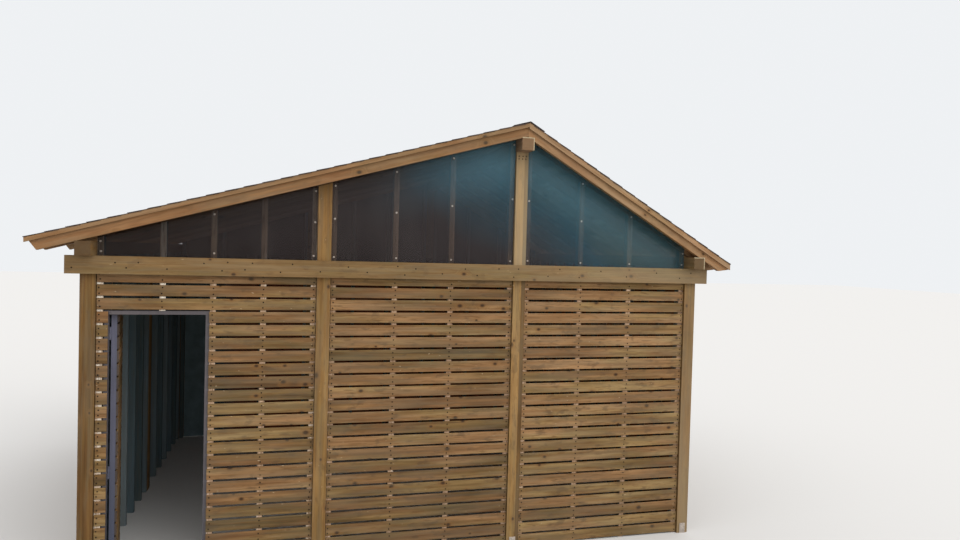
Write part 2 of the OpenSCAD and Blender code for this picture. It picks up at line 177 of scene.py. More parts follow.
class Value:
    """A socket of a finish. Expressions on values add Math nodes."""

    def __init__(self, nodes, socket):
        self.nodes = nodes
        self.socket = socket

    def maths(self, operation, *terms):
        return self.nodes.node("ShaderNodeMath", {"operation": operation}, terms)

    def __add__(self, other):
        return self.maths("ADD", self, other)

    __radd__ = __add__

    def __mul__(self, other):
        return self.maths("MULTIPLY", self, other)

    __rmul__ = __mul__

    def __sub__(self, other):
        return self.maths("SUBTRACT", self, other)

    def __rsub__(self, other):
        return self.maths("SUBTRACT", other, self)

    def __truediv__(self, other):
        return self.maths("DIVIDE", self, other)

    def __pow__(self, other):
        return self.maths("POWER", self, other)

    def __gt__(self, other):
        return self.maths("GREATER_THAN", self, other)

    def __lt__(self, other):
        return self.maths("LESS_THAN", self, other)

    def lower(self, other):
        return self.maths("MINIMUM", self, other)

    def higher(self, other):
        return self.maths("MAXIMUM", self, other)

    def sine(self):
        return self.maths("SINE", self)

    def root(self):
        return self.maths("SQRT", self)

    def rounded(self):
        return self.maths("ROUND", self)

    def part(self):
        """What is left of it over a whole number."""
        return self.maths("FRACT", self)

    def fall(self, start, end):
        """1 at start, going smoothly to 0 at end."""
        return self.nodes.node("ShaderNodeMapRange", {"interpolation_type": "SMOOTHSTEP"},
                               [self, start, end, 1.0, 0.0])


class Nodes:
    """The nodes of a finish or of the sky."""

    def __init__(self, tree):
        self.tree = tree

    def node(self, kind, settings=None, inputs=(), out=0):
        node = self.tree.nodes.new(kind)
        for name, setting in (settings or {}).items():
            if name == "stops":
                ramp = node.color_ramp.elements
                while len(ramp) < len(setting):
                    ramp.new(0.5)
                for stop, (place, colour) in zip(ramp, setting):
                    stop.position = place
                    stop.color = colour
            else:
                setattr(node, name, setting)
        pairs = inputs.items() if isinstance(inputs, dict) else enumerate(inputs)
        for key, given in pairs:
            self.feed(node.inputs[key], given)
        return Value(self, node.outputs[out])

    def feed(self, socket, given):
        """Give a socket a number, a colour or a link."""
        if isinstance(given, Value):
            self.tree.links.new(given.socket, socket)
        else:
            socket.default_value = given

    def mix(self, factor, first, second, blend="MIX"):
        return self.node("ShaderNodeMix", {"data_type": "RGBA", "blend_type": blend},
                         {0: factor, 6: first, 7: second}, out=2)


class Finish(Nodes):
    """A material made with nodes."""

    SOCKETS = {"colour": "Base Color", "rough": "Roughness", "metal": "Metallic",
               "normal": "Normal", "alpha": "Alpha", "level": "Specular IOR Level"}

    def __init__(self, name):
        self.material = bpy.data.materials.new(name)
        self.material.use_nodes = True
        super().__init__(self.material.node_tree)
        self.shader = self.tree.nodes["Principled BSDF"]

    def ramp(self, value, stops):
        return self.node("ShaderNodeValToRGB", {"stops": stops}, [value])

    def noise(self, vector, scale, detail=2.0, rough=0.5):
        return self.node("ShaderNodeTexNoise", {},
                         {"Vector": vector, "Scale": scale, "Detail": detail, "Roughness": rough})

    def cells(self, vector, scale):
        """A random value for each cell of a surface that is broken into small ones."""
        colour = self.node("ShaderNodeTexVoronoi", {"feature": "F1"},
                           {"Vector": vector, "Scale": scale}, out="Color")
        return self.split(colour)[0]

    def split(self, vector):
        node = self.node("ShaderNodeSeparateXYZ", {}, [vector]).socket.node
        return [Value(self, node.outputs[axis]) for axis in range(3)]

    def join(self, x, y, z):
        return self.node("ShaderNodeCombineXYZ", {}, [x, y, z])

    def place(self):
        return self.node("ShaderNodeTexCoord", {}, (), out="Object")

    def facing(self):
        return self.node("ShaderNodeNewGeometry", {}, (), out="Normal")

    def attribute(self, name, out):
        return self.node("ShaderNodeAttribute", {"attribute_name": name}, (), out=out)

    def number(self):
        """The random value of a board, tab or cap."""
        return self.attribute("number", "Fac")

    def grain(self):
        """The place in a board: along, across and into it."""
        return self.split(self.attribute("grain", "Vector"))

    def bump(self, height, distance, strength):
        return self.node("ShaderNodeBump", {},
                         {"Height": height, "Distance": distance, "Strength": strength})

    def set(self, **inputs):
        for key, given in inputs.items():
            self.feed(self.shader.inputs[self.SOCKETS[key]], given)
        return self.material


def rgb(red, green, blue):
    """A colour as it is seen on a screen, 0 to 255, for a shader socket."""
    parts = []
    for part in (red, green, blue):
        part = part / 255
        parts.append(part / 12.92 if part < 0.04045 else ((part + 0.055) / 1.055) ** 2.4)
    return (*parts, 1.0)


# Wood

RING_STEP = 0.0052
PITH_DEPTH = 0.06
RING_WAVE = 0.03
RING_BEND = 0.012
KNOT_CELLS = 6.0
KNOT_LENGTH = 0.72
KNOT_SHIFT = 3.1
KNOT_LEAST = 0.6
KNOT_GROWTH = 0.9
KNOT_WOBBLE = 0.006
KNOT_CORE = (0.006, 0.011)
KNOT_RIM = (0.01, 0.018)
KNOT_HALO = (0.01, 0.05)
LOW_SHADE_HEIGHT = 1.3
PIECE_SHIFT = 7.0
SIDE_SHIFT = 1.7
SIDE_FACING = 0.5
END_FACING = 0.6

# Noises drawn out along the grain: waves for each metre along and across it, detail and roughness

WAVE = (0.9, 5.0, 2.0, 0.5)
FIBRE = (6.0, 230.0, 3.0, 0.6)
STREAK = (0.8, 38.0, 3.0, 0.55)
CLOUD = (2.0, 12.0, 2.0, 0.5)
DASH = (7.0, 85.0, 2.0, 0.6)
CRACK = (2.2, 120.0, 1.0, 0.5)
DAMP = (1.4, 18.0, 4.0, 0.6, 1.3)

# Noises on the faces, with a third number that shifts them from piece to piece

WARM = (1.4, 7.0, 19.0, 2.0, 0.5)
SMUDGE = (7.0, 16.0, 31.0, 3.0, 0.6)
SCUFF = (26.0, 60.0, 17.0, 1.0, 0.5)

RING_TONE = rgb(200, 166, 126)
FIBRE_TONE = rgb(112, 80, 50)
DASH_TONE = rgb(100, 70, 38)
SMUDGE_TONE = rgb(80, 60, 40)
SCUFF_TONE = rgb(206, 184, 150)
HALO_TONE = rgb(122, 86, 46)
RIM_TONE = rgb(84, 56, 30)
KNOT_TONE = rgb(54, 36, 20)
CRACK_TONE = rgb(66, 46, 28)
DAMP_TONE = rgb(112, 104, 84)
LOW_SHADE_TONE = rgb(204, 208, 212)
PALER_TONE = rgb(196, 180, 148)
END_TONE = (158, 120, 78)


class Stock:
    """Tones of one kind of timber, from dark to pale, in its sapwood and in its heartwood. The
    numbers say how much of each mark it shows, ends how pale its sawn ends are, and spread how far
    its pieces differ in tone."""

    PLACES = (0.08, 0.5, 0.92)

    def __init__(self, sap, heart, blush=0.5, knots=0.12, rings=0.3, weather=0.25, ends=0.8,
                 grain=1.0, spread=0.5, marks=0.0):
        self.sap, self.heart = [[(place, rgb(*tone)) for place, tone in zip(self.PLACES, tones)]
                                for tones in (sap, heart)]
        self.blush = blush
        self.knots = knots
        self.rings = rings
        self.weather = weather
        self.ends = ends
        self.grain = grain
        self.spread = spread
        self.marks = marks


SLAT_STOCK = Stock([(76, 60, 33), (119, 94, 55), (158, 131, 86)],
                   [(88, 60, 37), (130, 94, 60), (163, 124, 86)],
                   blush=0.8, knots=0.3, grain=1.15, spread=0.32, marks=0.5)
# painted light: the stud edges seen in the slat gaps get very pale tones so that they read as lit
LIT_STUD_STOCK = Stock([(150, 120, 94), (206, 176, 146), (255, 248, 232)],
                   [(156, 120, 96), (210, 176, 148), (255, 246, 230)],
                   knots=0.06, rings=0.08, weather=0.0)
# painted shade: the studs' inner part gets dark bluish tones so that it reads as shaded inside the
# shed
SHADED_STUD_STOCK = Stock([(72, 90, 94), (94, 112, 118), (126, 140, 144)],
                    [(72, 88, 92), (96, 110, 116), (130, 138, 142)],
                    knots=0.0, rings=0.04, grain=0.2, spread=0.8)
POST_TONES = ([(86, 63, 30), (124, 95, 51), (160, 130, 78)],
              [(92, 62, 31), (130, 93, 52), (164, 125, 78)])
POST_STOCK = Stock(*POST_TONES, knots=0.36, grain=0.8, spread=0.7, marks=0.35)
# painted shade: the left plate's sawn ends are darker than the other beams', for the shade under the
# left eave
LEFT_PLATE_SHADED_STOCK = Stock(*POST_TONES, knots=0.3, ends=0.44, grain=0.6, marks=0.3)
BEAM_STOCK = Stock([(96, 77, 44), (133, 110, 70), (168, 145, 101)],
                   [(104, 76, 46), (142, 109, 72), (174, 140, 100)],
                   knots=0.3, ends=0.52, grain=0.6, marks=0.3)
# pale tones that are partly painted light, so that the ridge beam's shaded sides read lighter
RIDGE_STOCK_PAINTED_LIGHT = Stock([(122, 98, 74), (160, 131, 104), (190, 164, 138)],
                    [(128, 96, 74), (166, 131, 106), (196, 163, 138)],
                    knots=0.2, ends=0.68, grain=0.5)
RAFTER_STOCK = Stock([(110, 79, 45), (151, 117, 78), (186, 155, 120)],
                     [(118, 77, 46), (158, 114, 78), (192, 149, 116)],
                     knots=0.3, grain=0.45, marks=0.2)
TRIM_STOCK = Stock([(116, 86, 50), (152, 121, 84), (192, 164, 132)],
                   [(122, 84, 50), (158, 117, 82), (196, 156, 124)],
                   knots=0.2, grain=0.45)
DECK_STOCK = Stock([(120, 98, 68), (160, 134, 100), (190, 166, 130)],
                   [(128, 94, 66), (166, 126, 94), (194, 156, 122)],
                   knots=0.2, weather=0.1)


def to_pith(across, into):
    """How far a place lies from the middle of the trunk."""
    deep = into - PITH_DEPTH
    return (across * across + deep * deep).root()


def year_rings(distance):
    """Year rings, 0 to 1, at a distance from the middle of the trunk."""
    return (distance * (2 * math.pi / RING_STEP)).sine() * 0.5 + 0.5


def knots(finish, along, flat, number, cloud, share):
    """Core, rim and halo of the knots on the face that is seen. share is how many cells hold one."""
    place = finish.join(along * KNOT_LENGTH, flat + number * KNOT_SHIFT, 0.0)
    cell = {"Vector": place, "Scale": KNOT_CELLS}
    plane = {"voronoi_dimensions": "2D", "feature": "F1"}
    reach = finish.node("ShaderNodeTexVoronoi", plane, cell) / KNOT_CELLS
    chance, size, _ = finish.split(finish.node("ShaderNodeTexVoronoi", plane, cell, out="Color"))
    reach = reach / (size * KNOT_GROWTH + KNOT_LEAST) + cloud * KNOT_WOBBLE
    there = chance < share
    return [reach.fall(*edges) * there for edges in (KNOT_CORE, KNOT_RIM, KNOT_HALO)]


def wood(finish, along, across, into, flat, number, stock):
    """Colour, roughness and height of sawn timber. The first three values are a place in the piece,
    in metres, flat is the way across the face that is seen, and number is the piece's own value."""

    def drawn(lengthwise, crosswise, detail, rough, scale=1.0):
        place = finish.join(along * lengthwise, across * crosswise, into * crosswise)
        return finish.noise(place, scale, detail, rough)

    def blotched(lengthwise, crosswise, shift, detail, rough):
        place = finish.join(along * lengthwise, across * crosswise, number * shift)
        return finish.noise(place, 1.0, detail, rough)

    wave = drawn(*WAVE) - 0.5
    fibre = drawn(*FIBRE)
    streak = drawn(*STREAK) - 0.5
    cloud = drawn(*CLOUD) - 0.5
    dash = drawn(*DASH)
    crack = drawn(*CRACK).fall(0.2, 0.27)
    damp = drawn(*DAMP)
    core, rim, halo = knots(finish, along, flat, number, cloud, stock.knots)
    ring = year_rings(to_pith(across, into) + wave * RING_WAVE + halo * RING_BEND) ** 2.0

    tone = (number - 0.5) * stock.spread + (streak * 0.9 + cloud * 0.8) * stock.grain + 0.5
    warm = blotched(*WARM) + (number * 7.3).part() * 0.18
    colour = finish.mix(warm.fall(0.74, 0.46) * -stock.blush + stock.blush,
                        finish.ramp(tone, stock.sap), finish.ramp(tone, stock.heart))
    colour = finish.mix(ring * stock.rings, colour, RING_TONE, "MULTIPLY")
    colour = finish.mix(fibre.fall(0.3, 0.46) * (0.4 * stock.grain), colour, FIBRE_TONE)
    colour = finish.mix(dash.fall(0.34, 0.46) * (0.6 * stock.grain), colour, DASH_TONE)
    if stock.marks:
        smudge = blotched(*SMUDGE)
        colour = finish.mix(smudge.fall(0.32, 0.44) * stock.marks, colour, SMUDGE_TONE)
        scuff = blotched(*SCUFF)
        colour = finish.mix(scuff.fall(0.18, 0.24) * stock.marks, colour, SCUFF_TONE)
    colour = finish.mix(halo * 0.5, colour, HALO_TONE)
    colour = finish.mix(rim * 0.7, colour, RIM_TONE)
    colour = finish.mix(core * 0.9, colour, KNOT_TONE)
    colour = finish.mix(crack * (0.55 * stock.grain), colour, CRACK_TONE)
    colour = finish.mix(damp.fall(0.6, 0.4) * stock.weather, colour, DAMP_TONE)
    # painted shade: all wood grows a little darker and cooler towards the floor
    low = finish.split(finish.place())[2].fall(0.0, LOW_SHADE_HEIGHT)
    colour = finish.mix(low * 0.25, colour, LOW_SHADE_TONE, "MULTIPLY")
    height = fibre * 0.5 + ring * 0.3 - core * 0.4 - crack * 0.8
    return colour, 0.64 + fibre * 0.18, height


def sawn(finish, colour, rough, height):
    """The material of sawn timber."""
    return finish.set(colour=colour, rough=rough, normal=finish.bump(height, 0.001, 0.7), level=0.2)


def boards(name, stock):
    """Finish of boards that carry their own grain and number."""
    finish = Finish(name)
    along, across, into = finish.grain()
    return sawn(finish, *wood(finish, along, across, into, across, finish.number(), stock))


def timbers(name, axis, stock, first=(0.0, 0.0), step=0.9, turn=0.0, middle=0.0, start=0.15,
            spread=TONE_STEP, paler=None):
    """Finish of the frame's timbers that run along one axis, or are turned from it in the plane of
    the gable. first and step tell the pieces of a node apart: the middle of one of them and the way
    to the next. middle is the height of a level or turned timber, start the tone of the first one,
    spread how far the tones of two neighbours lie apart, and the last one how much paler a place
    grows."""
    finish = Finish(name)
    place, normal = finish.place(), finish.facing()
    if turn:
        place, normal = [finish.node("ShaderNodeVectorRotate", {"rotation_type": "Y_AXIS"},
                                     {"Vector": vector, "Angle": turn})
                         for vector in (place, normal)]
    x, y, z = finish.split(place)
    sides = finish.split(normal)
    column = ((x - first[0]) / step).rounded()
    row = ((y - first[1]) / step).rounded()
    in_x = x - first[0] - column * step
    in_y = y - first[1] - row * step
    along, across, into, across_axis, tag = {
        "x": (x, z - middle, in_y, 2, row),
        "y": (y, z - middle, in_x, 2, column),
        "z": (z, in_x, in_y, 0, column + row * PIECE_SHIFT)}[axis]
    number = (tag * spread + start).part()
    side = (sides[across_axis] * sides[across_axis]) > SIDE_FACING
    flat = across * (1.0 - side) + (into + SIDE_SHIFT) * side
    end = sides["xyz".index(axis)]
    end = (end * end) > END_FACING
    colour, rough, height = wood(finish, along + number * PIECE_SHIFT, across, into, flat, number,
                                 stock)
    colour = finish.mix(end * 0.7, colour, rgb(*[part * stock.ends for part in END_TONE]))
    # painted light where it marks the beam ends' upper and right arrises, the tie beams' right ends
    # and the right wall's posts
    if paler:
        colour = finish.mix(paler(x, y, z), colour, PALER_TONE)
    return sawn(finish, colour, rough, height)


# Mesh of many small pieces

GRAIN_SHIFT = ((0.0, 9.0), (-0.06, 0.06), (0.0, 0.05))
HEAD_SUNK = 0.001
HEAD_RIM = 0.55


class Pile:
    """A joined mesh of boards, heads and tabs, each with its own grain and number."""

    def __init__(self, name):
        self.name = name
        self.points = []
        self.grain = []
        self.numbers = []
        self.faces = []
        self.finish = []

    def add(self, face, finish):
        self.faces.append(face)
        self.finish.append(finish)

    def loft(self, rings, grains, number, finish=0, ends=None, closed=True):
        """A skin through rings of points that turn clockwise as seen from the first one."""
        ends = finish if ends is None else ends
        first = len(self.points)
        count = len(rings[0])
        for ring, grain in zip(rings, grains):
            self.points += ring
            self.grain += grain
            self.numbers += [number] * count
        for step in range(len(rings) - 1):
            low = first + step * count
            for i in range(count):
                j = (i + 1) % count
                self.add([low + i, low + j, low + count + j, low + count + i], finish)
        if closed:
            self.add([first + i for i in range(count)][::-1], ends)
        last = first + (len(rings) - 1) * count
        self.add([last + i for i in range(count)], ends)

    def board(self, start, along, across, into, size, tips=(0.0, 0.0), chamfer=0.0015, bow=0.0006,
              steps=6, number=None, finish=0, ends=None):
        """A sawn board. start is its corner, and size its length, width and thickness.
        tips lengthen its far end, at its first edge and at its second."""
        length, width, thick = size
        number = CHANCE.random() if number is None else number
        shift = Vector([CHANCE.uniform(*limits) for limits in GRAIN_SHIFT])
        bends = (CHANCE.uniform(-bow, bow), CHANCE.uniform(-bow, bow))
        edge = min(chamfer, thick / 4)
        outline = [(edge, 0), (width - edge, 0), (width, edge), (width, thick - edge),
                   (width - edge, thick), (edge, thick), (0, thick - edge), (0, edge)]
        if along.cross(across).dot(into) < 0:
            outline.reverse()
        rings, grains = [], []
        for step in range(steps + 1):
            share = step / steps
            swell = math.sin(math.pi * share)
            ring, grain = [], []
            for v, w in outline:
                u = length * share + share * (tips[0] + (tips[1] - tips[0]) * v / width)
                ring.append(start + along * u + across * (v + bends[0] * swell)
                            + into * (w + bends[1] * swell))
                grain.append(Vector((u, v, w)) + shift)
            rings.append(ring)
            grains.append(grain)
        self.loft(rings, grains, number, finish, ends)

    def head(self, centre, out, radius, height, sides=8, crown=0.7, finish=0):
        """A round or many-sided head that stands out of a face."""
        across = out.orthogonal().normalized()
        up = out.cross(across)
        turn = CHANCE.random()
        angles = [2 * math.pi * (i + turn) / sides for i in range(sides)]
        rings = []
        for rise, reach in ((-HEAD_SUNK, 1.0), (height * HEAD_RIM, 1.0), (height, crown)):
            rings.append([centre + out * rise
                          + (across * math.cos(angle) + up * math.sin(angle)) * radius * reach
                          for angle in angles])
        self.loft(rings, rings, turn, finish, closed=False)

    def piece(self, materials, body="shed", stands_for=()):
        mesh = bpy.data.meshes.new(self.name)
        mesh.from_pydata(self.points, [], self.faces)
        grain = mesh.attributes.new("grain", "FLOAT_VECTOR", "POINT")
        grain.data.foreach_set("vector", [part for point in self.grain for part in point])
        number = mesh.attributes.new("number", "FLOAT", "POINT")
        number.data.foreach_set("value", self.numbers)
        for material in materials:
            mesh.materials.append(material)
        mesh.polygons.foreach_set("material_index", self.finish)
        mesh.validate()
        item = show(self.name, mesh)
        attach(item, body)
        if stands_for:
            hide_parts(*stands_for)


# Slatted walls

NAIL_RADIUS = 0.0062
NAIL_PROUD = 0.0007
NAIL_SHARES = (0.25, 0.75)
NAIL_ASIDE = 0.005
NAIL_OFF = 0.004
STUD_LIT_DEPTH = 0.012
STUD_GAP = 0.0002
SLAT_REACH = 0.003
SLAT_CHAMFER = 0.003
SLAT_PLAY = 0.0012
SLAT_CUT = 0.002
SLAT_SLIP = 0.001
LEAF_TUBE = 0.02

# painted light and shade: slats right of the door and in the middle bay are darker, the right bay's
# paler
SLAT_BAY_LIGHT_AND_SHADE = {"door_bay_right": -0.2, "front_middle": -0.15, "front_right": 0.2}
# painted light: the stud edges in the gaps are paler in the bays by the door, brightest left of it
STUD_PAINTED_LIGHT = {"door_bay_left": 1.0, "door_bay_top": 0.95, "door_bay_right": 0.5}
STUD_TONE = 0.2

POSTS_LOW, POSTS_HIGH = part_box("corner_posts")
FRONT_WALL = Wall((POSTS_LOW.x, POSTS_LOW.y, 0), (1, 0, 0), (0, -1, 0))
BACK_WALL = Wall((POSTS_LOW.x, POSTS_HIGH.y, 0), (1, 0, 0), (0, 1, 0))
LEFT_WALL = Wall((POSTS_LOW.x, POSTS_LOW.y, 0), (0, 1, 0), (-1, 0, 0))
RIGHT_WALL = Wall((POSTS_HIGH.x, POSTS_LOW.y, 0), (0, 1, 0), (1, 0, 0))
GABLES = ((FRONT_WALL, "front"), (BACK_WALL, "back"))
LEAF_ANGLE = math.radians(100)
LEAF = Wall((0, 0, 0), (math.cos(LEAF_ANGLE), math.sin(LEAF_ANGLE), 0),
            (math.sin(LEAF_ANGLE), -math.cos(LEAF_ANGLE), 0))


def nail_finish():
    finish = Finish("nail_heads")
    rust = finish.noise(finish.place(), 90.0, 2.0)
    colour = finish.mix(rust.fall(0.6, 0.4), rgb(34, 23, 15), rgb(20, 15, 12))
    return finish.set(colour=colour, rough=0.7 + rust * 0.2, level=0.1)


def slat_end_grain_and_shade():
    """Sawn ends of the slats, with their rings and saw marks, in dark greys that are partly end
    grain and partly painted shade.
    """
    finish = Finish("slat_ends_painted_shade")
    across, into = finish.grain()[1:]
    number = finish.number()
    ring = year_rings(to_pith(across, into))
    saw = finish.noise(finish.join(across * 40.0, into * 900.0, number * 5.0), 1.0, 2.0)
    colour = finish.ramp(ring * 0.4 + saw * 0.3 + number * 0.3,
                         [(0.1, rgb(50, 43, 39)), (0.5, rgb(68, 59, 53)), (0.9, rgb(92, 80, 70))])
    return finish.set(colour=colour, rough=0.85, level=0.15,
                      normal=finish.bump(ring * 0.4 + saw, 0.0006, 0.7))


NAIL = nail_finish()
SLAT_FINISHES = [boards("slat_wood", SLAT_STOCK), boards("stud_painted_light", LIT_STUD_STOCK), NAIL,
                 boards("stud_painted_shade", SHADED_STUD_STOCK), slat_end_grain_and_shade()]
ON_SLAT, ON_STUD_LIT_EDGE, ON_NAIL, ON_STUD_SHADE, ON_SLAT_END = range(len(SLAT_FINISHES))


def nails(pile, wall, run, low, high, depth):
    """Two nail heads, one over the other, in a board that crosses a stud."""
    for share in NAIL_SHARES:
        aside = CHANCE.uniform(-NAIL_ASIDE, NAIL_ASIDE)
        rise = low + (high - low) * share + CHANCE.uniform(-NAIL_OFF, NAIL_OFF)
        pile.head(wall.at(run + aside, rise, depth), wall.out, NAIL_RADIUS, NAIL_PROUD,
                  finish=ON_NAIL)


def slats(pile, bay, crossings, reach=SLAT_REACH):
    """The boards of a bay, nailed where studs cross them. They run past the bay's solid by reach, to
    the posts."""
    wall = bay.wall
    for low, high in bay.rows:
        cut = [CHANCE.uniform(0.0, SLAT_CUT) - reach for _ in range(2)]
        slip = CHANCE.uniform(-SLAT_SLIP, SLAT_SLIP)
        face = bay.face + CHANCE.uniform(0.0, SLAT_PLAY)
        size = (bay.end - bay.start - cut[0] - cut[1], high - low, bay.thick - SLAT_PLAY)
        number = CHANCE.random() + SLAT_BAY_LIGHT_AND_SHADE.get(bay.node, 0.0)
        pile.board(wall.at(bay.start + cut[0], low + slip, face), wall.along, UP, -wall.out, size,
                   chamfer=SLAT_CHAMFER, steps=8, number=number, finish=ON_SLAT, ends=ON_SLAT_END)
        for run in crossings:
            nails(pile, wall, run, low + slip, high + slip, face)


def studs(pile, bay):
    """The uprights of a bay, with their tops cut to the slope: a front edge behind the slats in very
    pale tones that are painted light, and an inner part in dark bluish tones that are painted shade."""
    wall = bay.wall
    face = bay.face + bay.thick + STUD_GAP
    for place, (near, far, low, tops) in enumerate(bay.studs):
        base = min(tops) - low
        tips = (tops[0] - low - base, tops[1] - low - base)
        edge = (face, face + STUD_LIT_DEPTH, ON_STUD_LIT_EDGE, STUD_PAINTED_LIGHT.get(bay.node, STUD_TONE))
        inner = (face + STUD_LIT_DEPTH, bay.back, ON_STUD_SHADE, place * TONE_STEP % 1.0)
        for start, end, finish, tone in (edge, inner):
            size = (base, far - near, end - start)
            pile.board(wall.at(near, low, start), UP, wall.along, -wall.out, size, tips=tips,
                       bow=0.0, number=tone, finish=finish)


def bay_piece(wall, node, name, passing=()):
    """Slats, studs and nails of a bay. passing are studs of other bays that its slats cross too."""
    bay = Bay(wall, node)
    pile = Pile(name)
    slats(pile, bay, bay.crossings() + list(passing))
    studs(pile, bay)
    pile.piece(SLAT_FINISHES, stands_for=[node])
    return bay


def walls():
    """Every slatted bay. Returns the runs of the studs that the gable's sheets are screwed to."""
    bays = {}
    for wall, side in GABLES:
        for part in ("middle", "right"):
            bays[f"{side}_{part}"] = bay_piece(wall, f"{side}_{part}", f"{side}_{part}_slats")
    bays["back_left"] = bay_piece(BACK_WALL, "back_left", "back_left_slats")
    for wall, side in ((LEFT_WALL, "left"), (RIGHT_WALL, "right")):
        for part in ("front", "back"):
            bay_piece(wall, f"{side}_{part}", f"{side}_{part}_slats")
    left, right = [bay_piece(FRONT_WALL, f"door_bay_{part}", f"slats_{part}_of_door").crossings()
                   for part in ("left", "right")]
    bay_piece(FRONT_WALL, "door_bay_top", "slats_over_door", left + right)
    held = {"front": left + right[::2], "back": bays["back_left"].crossings()}
    for side in held:
        held[side] += bays[f"{side}_middle"].crossings() + bays[f"{side}_right"].crossings()
    return held


def leaf():
    """The slats of the door leaf, screwed to its stiles."""
    bay = Bay(LEAF, "leaf_slats")
    pile = Pile("leaf_boards")
    slats(pile, bay, [], 0.0)
    for low, high in bay.rows:
        for run in (bay.start + LEAF_TUBE, bay.end - LEAF_TUBE):
            nails(pile, LEAF, run, low, high, bay.face)
    pile.piece(SLAT_FINISHES, body="door", stands_for=["leaf_slats"])


# Roof

BOARD_WIDTH = 0.1
BOARD_GAP = 0.0006
BOARD_CHAMFER = 0.003
TAB_WIDTH = 0.333
TAB_SLOT = 0.006
TAB_THICK = 0.0035
TAB_CHAMFER = 0.0006
TAB_SINK = 0.0006
TAB_DEPTH = 1.7
TAB_DRIFT = 0.03
TAB_DROP = 0.0025
TAB_LEAST = 0.01
RIDGE_GAP = 0.004
COURSE = 0.145
TAB_BUTT = 0.008
TAB_HEAD = 0.003
STARTER_RISE = 0.0005
STARTER_CHAMFER = 0.0005
STARTER_DEPTH = 1.2
STARTER_TONE = 0.2
CAP_STEP = 0.145
CAP_LENGTH = 0.19
CAP_THICK = 0.0026
CAP_LIFT = 0.0016
CAP_LEAST = 0.01
CAP_BEND = ((-0.004, 0.0014), (0.0, 0.0006), (0.004, 0.0024))

LEFT_SLOPE = Slope("deck_left", -1)
RIGHT_SLOPE = Slope("deck_right", 1)


def shingle_finish():
    finish = Finish("shingle")
    place = finish.place()
    grit = finish.noise(place, 420.0, 2.0, 0.7)
    patch = finish.noise(place, 2.2, 3.0)
    fleck = finish.cells(place, 260.0)
    tone = finish.number() * 0.5 + patch * 0.5 + (grit - 0.5) * 0.5
    colour = finish.ramp(tone, [(0.2, rgb(48, 40, 38)), (0.5, rgb(70, 58, 54)),
                                (0.85, rgb(94, 80, 74))])
    colour = finish.mix((fleck > 0.86) * 0.5, colour, rgb(138, 124, 114))
    colour = finish.mix((fleck < 0.12) * 0.5, colour, rgb(34, 29, 28))
    return finish.set(colour=colour, rough=0.92, level=0.15,
                      normal=finish.bump(grit + fleck * 0.5, 0.0012, 0.8))


DECK = boards("deck_wood", DECK_STOCK)
SHINGLE = shingle_finish()


def deck(slope, node, name):
    """Roof boards, from the eave to a board's thickness short of the ridge."""
    pile = Pile(name)
    run = slope.length - slope.thick
    count = round(run / BOARD_WIDTH)
    width = run / count
    for i in range(count):
        start = slope.at(slope.length - i * width, slope.near, 0)
        size = (slope.far - slope.near, width - BOARD_GAP, slope.thick)
        pile.board(start, NORTH, -slope.down, -slope.out, size, chamfer=BOARD_CHAMFER, bow=0.0,
                   steps=4)
    pile.piece([DECK], stands_for=[node])


def shingles(slope, node, name):
    """Courses of tabs over a starter strip, each raised at its butt by the course under it."""
    pile = Pile(name)
    low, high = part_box(node)
    edge = high.x if slope.side > 0 else low.x
    reach = (edge - slope.head.x - slope.out.x * TAB_BUTT) / slope.down.x
    count = round(reach / COURSE)
    step = reach / count
    lean = math.atan((TAB_BUTT - TAB_HEAD) / step)
    up = -slope.down * math.cos(lean) - slope.out * math.sin(lean)
    out = slope.out * math.cos(lean) - slope.down * math.sin(lean)
    pile.board(slope.at(reach, low.y, TAB_HEAD + STARTER_RISE), NORTH, -slope.down, -slope.out,
               (high.y - low.y, step * STARTER_DEPTH, TAB_HEAD), chamfer=STARTER_CHAMFER, bow=0.0,
               steps=1, number=STARTER_TONE)
    for course in range(count):
        run = reach - course * step
        depth = min(step * TAB_DEPTH, run - RIDGE_GAP)
        y = low.y - (TAB_WIDTH / 2 if course % 2 else 0.0) - CHANCE.uniform(0.0, TAB_DRIFT)
        while y < high.y:
            start = max(y, low.y)
            end = min(y + TAB_WIDTH - TAB_SLOT, high.y)
            if end - start > TAB_LEAST:
                drop = CHANCE.uniform(0.0, TAB_DROP) if course else 0.0
                butt = TAB_BUTT - CHANCE.uniform(0.0, TAB_SINK)
                pile.board(slope.at(run - drop, start, butt), NORTH, up, -out,
                           (end - start, depth, TAB_THICK), chamfer=TAB_CHAMFER, bow=0.0, steps=1)
            y += TAB_WIDTH
    pile.piece([SHINGLE], stands_for=[node])


def capping():
    """Caps bent over the ridge, each lapped by the next."""
    pile = Pile("ridge_caps")
    low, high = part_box("capping")
    top = high.z
    middle = max(corners("capping"), key=lambda point: point.z).x
    left, right = middle - low.x, high.x - middle
    profile = [(-left, LEFT_SLOPE.drop * left), *CAP_BEND, (right, RIGHT_SLOPE.drop * right)]
    y = low.y
    while y < high.y - CAP_LEAST:
        length = min(CAP_LENGTH, high.y - y)
        number = CHANCE.random()
        rings = []
        for share in (0.0, 1.0):
            ridge = top - CAP_LIFT * share
            outer, inner = [[Vector((middle + across, y + length * share, ridge - thick - drop))
                             for across, drop in profile] for thick in (0.0, CAP_THICK)]
            rings.append(inner[::-1] + outer)
        pile.loft(rings, rings, number)
        y += CAP_STEP
    pile.piece([SHINGLE], stands_for=["capping"])


# Fixings

